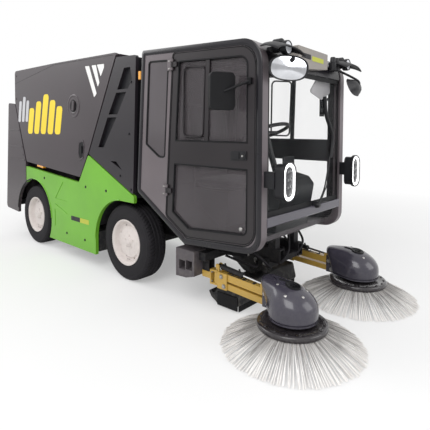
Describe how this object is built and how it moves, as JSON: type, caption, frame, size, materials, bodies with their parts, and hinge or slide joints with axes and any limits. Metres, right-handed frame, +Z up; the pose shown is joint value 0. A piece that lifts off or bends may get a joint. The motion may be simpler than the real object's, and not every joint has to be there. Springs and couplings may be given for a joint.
{
  "type": "compact road sweeper",
  "caption": "Compact road sweeper with a glazed cab, a tipping hopper, green side skirts and two front side brushes on lifting arms.",
  "frame": {"origin": "centre of the footprint, on the ground", "axes": "+X forward, +Y to the vehicle's left, +Z up"},
  "size_m": [4.5585, 1.88, 2.0118],
  "materials": {
    "graphite_paint": "satin",
    "green_panel": "gloss",
    "black_steel": "satin",
    "gold_paint": "gloss",
    "white_steel": "satin",
    "tyre_rubber": "matt",
    "clear_glass": "clear",
    "smoked_glass": "clear",
    "black_plastic": "matt",
    "grey_plastic": "matt",
    "cover_grey": "gloss",
    "lamp_lens": "clear",
    "red_lens": "gloss",
    "seat_fabric": "woven",
    "bristle_poly": "satin",
    "chromed_rod": "polished",
    "battery_case": "matt"
  },
  "bodies": {
    "root": {"chassis_frame": "black_steel", "battery_pack": "battery_case", "axle_beams": "black_steel", "side_skirts": "green_panel", "column_panels": "graphite_paint", "fan_housing": "black_steel", "body_platform": "black_steel", "tail_sides": "graphite_paint", "tail_panel": "graphite_paint", "tail_lamps": "red_lens", "cab_sides": "graphite_paint", "cab_glass": "clear_glass", "cab_roof": "graphite_paint", "cab_tub": "grey_plastic", "front_cross_bar": "grey_plastic", "seat_pads": "seat_fabric", "dash_console": "black_plastic", "steering_wheel": "black_plastic", "headlamps": "black_plastic", "headlamp_lenses": "lamp_lens", "front_fittings": "black_plastic", "arm_carriers": "gold_paint", "suction_nozzle": "black_plastic", "step_boxes": "grey_plastic"},
    "hopper": {"hopper_sides": "graphite_paint", "hopper_shell": "graphite_paint"},
    "hopper_rear_door": {"hopper_door": "graphite_paint"},
    "tip_barrels": {"tip_barrels": "black_steel"},
    "tip_rods": {"tip_rods": "chromed_rod"},
    "tie_rod": {"tie_rod": "black_steel"},
    "knuckle_right": {"steering_knuckle_right": "black_steel"},
    "front_wheel_right": {"tyre_front_right": "tyre_rubber", "wheel_front_right": "white_steel"},
    "rear_wheel_right": {"tyre_rear_right": "tyre_rubber", "wheel_rear_right": "white_steel"},
    "door_right": {"door_frame_right": "black_plastic", "door_glass_right": "smoked_glass", "door_mirror_right": "black_plastic"},
    "swing_bracket_right": {"swing_bracket_right": "gold_paint"},
    "lower_bar_right": {"arm_bar_lower_right": "gold_paint"},
    "upper_bar_right": {"arm_bar_upper_right": "gold_paint"},
    "brush_head_right": {"brush_head_right": "cover_grey"},
    "brush_right": {"brush_right": "bristle_poly"},
    "lift_barrel_right": {"lift_barrel_right": "black_steel"},
    "lift_rod_right": {"lift_rod_right": "chromed_rod"},
    "knuckle_left": {"steering_knuckle_left": "black_steel"},
    "front_wheel_left": {"tyre_front_left": "tyre_rubber", "wheel_front_left": "white_steel"},
    "rear_wheel_left": {"tyre_rear_left": "tyre_rubber", "wheel_rear_left": "white_steel"},
    "door_left": {"door_frame_left": "black_plastic", "door_glass_left": "smoked_glass", "door_mirror_left": "black_plastic"},
    "swing_bracket_left": {"swing_bracket_left": "gold_paint"},
    "lower_bar_left": {"arm_bar_lower_left": "gold_paint"},
    "upper_bar_left": {"arm_bar_upper_left": "gold_paint"},
    "brush_head_left": {"brush_head_left": "cover_grey"},
    "brush_left": {"brush_left": "bristle_poly"},
    "lift_barrel_left": {"lift_barrel_left": "black_steel"},
    "lift_rod_left": {"lift_rod_left": "chromed_rod"}
  },
  "joints": [
    {"name": "steer_right", "type": "hinge", "parent": "root", "child": "knuckle_right", "pos_m": [0.19634, -0.325, 0.333], "axis": [0, 0, 1], "range_deg": [-30, 30]},
    {"name": "front_wheel_spin_right", "type": "hinge", "parent": "knuckle_right", "child": "front_wheel_right", "pos_m": [0.19634, -0.449, 0.333], "axis": [0, 1, 0], "continuous": true},
    {"name": "rear_wheel_spin_right", "type": "hinge", "parent": "root", "child": "rear_wheel_right", "pos_m": [-1.52866, -0.449, 0.333], "axis": [0, 1, 0], "continuous": true},
    {"name": "steer_left", "type": "hinge", "parent": "root", "child": "knuckle_left", "pos_m": [0.19634, 0.325, 0.333], "axis": [0, 0, 1], "range_deg": [-30, 30]},
    {"name": "front_wheel_spin_left", "type": "hinge", "parent": "knuckle_left", "child": "front_wheel_left", "pos_m": [0.19634, 0.449, 0.333], "axis": [0, 1, 0], "continuous": true},
    {"name": "rear_wheel_spin_left", "type": "hinge", "parent": "root", "child": "rear_wheel_left", "pos_m": [-1.52866, 0.449, 0.333], "axis": [0, 1, 0], "continuous": true},
    {"name": "tie_rod_pin", "type": "hinge", "parent": "knuckle_right", "child": "tie_rod", "pos_m": [0.07634, -0.325, 0.305], "axis": [0, 0, 1], "range_deg": [-32, 32]},
    {"name": "door_swing_right", "type": "hinge", "parent": "root", "child": "door_right", "pos_m": [0.81006, -0.587, 1.3], "axis": [-0.0624, 0, -0.998], "range_deg": [0, 80]},
    {"name": "door_swing_left", "type": "hinge", "parent": "root", "child": "door_left", "pos_m": [0.81006, 0.587, 1.3], "axis": [0.0624, 0, 0.998], "range_deg": [0, 80]},
    {"name": "hopper_tip", "type": "hinge", "parent": "root", "child": "hopper", "pos_m": [-2.09366, 0, 1.6], "axis": [0, -1, 0], "range_deg": [0, 50]},
    {"name": "rear_door_lift", "type": "hinge", "parent": "hopper", "child": "hopper_rear_door", "pos_m": [-2.00266, 0, 1.972], "axis": [0, 1, 0], "range_deg": [0, 100]},
    {"name": "tip_barrel_pin", "type": "hinge", "parent": "root", "child": "tip_barrels", "pos_m": [-2.00366, 0, 0.56], "axis": [0, -1, 0], "range_deg": [-0.063, 0.05]},
    {"name": "tip_rod_stroke", "type": "slide", "parent": "tip_barrels", "child": "tip_rods", "axis": [-0.004, 0, 1], "range_m": [-0.001, 0.08277]},
    {"name": "arm_swing_right", "type": "hinge", "parent": "root", "child": "swing_bracket_right", "pos_m": [1.18134, -0.45, 0.25], "axis": [0, 0, -1], "range_deg": [0, 25]},
    {"name": "arm_lift_right", "type": "hinge", "parent": "swing_bracket_right", "child": "lower_bar_right", "pos_m": [1.27134, -0.45, 0.212], "axis": [0, -1, 0], "range_deg": [0, 18]},
    {"name": "upper_bar_pin_right", "type": "hinge", "parent": "swing_bracket_right", "child": "upper_bar_right", "pos_m": [1.24634, -0.45, 0.276], "axis": [0, -1, 0], "range_deg": [-0.5, 18.5]},
    {"name": "head_pin_right", "type": "hinge", "parent": "lower_bar_right", "child": "brush_head_right", "pos_m": [1.64634, -0.45, 0.193], "axis": [0, -1, 0], "range_deg": [-18.5, 0.5]},
    {"name": "brush_spin_right", "type": "hinge", "parent": "brush_head_right", "child": "brush_right", "pos_m": [1.83034, -0.491, 0.15], "axis": [0, 0, 1], "continuous": true},
    {"name": "lift_barrel_pin_right", "type": "hinge", "parent": "swing_bracket_right", "child": "lift_barrel_right", "pos_m": [1.20134, -0.45, 0.338], "axis": [0, -1, 0], "range_deg": [-0.5, 16.52]},
    {"name": "lift_rod_stroke_right", "type": "slide", "parent": "lift_barrel_right", "child": "lift_rod_right", "axis": [0.9955, 0, -0.0944], "range_m": [-0.02102, 0.001]},
    {"name": "arm_swing_left", "type": "hinge", "parent": "root", "child": "swing_bracket_left", "pos_m": [1.18134, 0.45, 0.25], "axis": [0, 0, 1], "range_deg": [0, 25]},
    {"name": "arm_lift_left", "type": "hinge", "parent": "swing_bracket_left", "child": "lower_bar_left", "pos_m": [1.27134, 0.45, 0.212], "axis": [0, -1, 0], "range_deg": [0, 18]},
    {"name": "upper_bar_pin_left", "type": "hinge", "parent": "swing_bracket_left", "child": "upper_bar_left", "pos_m": [1.24634, 0.45, 0.276], "axis": [0, -1, 0], "range_deg": [-0.5, 18.5]},
    {"name": "head_pin_left", "type": "hinge", "parent": "lower_bar_left", "child": "brush_head_left", "pos_m": [1.64634, 0.45, 0.193], "axis": [0, -1, 0], "range_deg": [-18.5, 0.5]},
    {"name": "brush_spin_left", "type": "hinge", "parent": "brush_head_left", "child": "brush_left", "pos_m": [1.83034, 0.491, 0.15], "axis": [0, 0, 1], "continuous": true},
    {"name": "lift_barrel_pin_left", "type": "hinge", "parent": "swing_bracket_left", "child": "lift_barrel_left", "pos_m": [1.20134, 0.45, 0.338], "axis": [0, -1, 0], "range_deg": [-0.5, 16.52]},
    {"name": "lift_rod_stroke_left", "type": "slide", "parent": "lift_barrel_left", "child": "lift_rod_left", "axis": [0.9955, 0, -0.0944], "range_m": [-0.02102, 0.001]}
  ],
  "couplings": [
    {"joint": "steer_left", "follows": "steer_right", "ratio": 1},
    {"joint": "tie_rod_pin", "follows": "steer_right", "ratio": -1},
    {"joint": "tip_barrel_pin", "follows": "hopper_tip", "ratio": -0.000257},
    {"joint": "tip_rod_stroke", "follows": "hopper_tip", "m_per_rad": 0.091866},
    {"joint": "upper_bar_pin_right", "follows": "arm_lift_right", "ratio": 1},
    {"joint": "head_pin_right", "follows": "arm_lift_right", "ratio": -1},
    {"joint": "lift_barrel_pin_right", "follows": "arm_lift_right", "ratio": 0.89003},
    {"joint": "lift_rod_stroke_right", "follows": "arm_lift_right", "m_per_rad": -0.063717},
    {"joint": "upper_bar_pin_left", "follows": "arm_lift_left", "ratio": 1},
    {"joint": "head_pin_left", "follows": "arm_lift_left", "ratio": -1},
    {"joint": "lift_barrel_pin_left", "follows": "arm_lift_left", "ratio": 0.89003},
    {"joint": "lift_rod_stroke_left", "follows": "arm_lift_left", "m_per_rad": -0.063717}
  ]
}
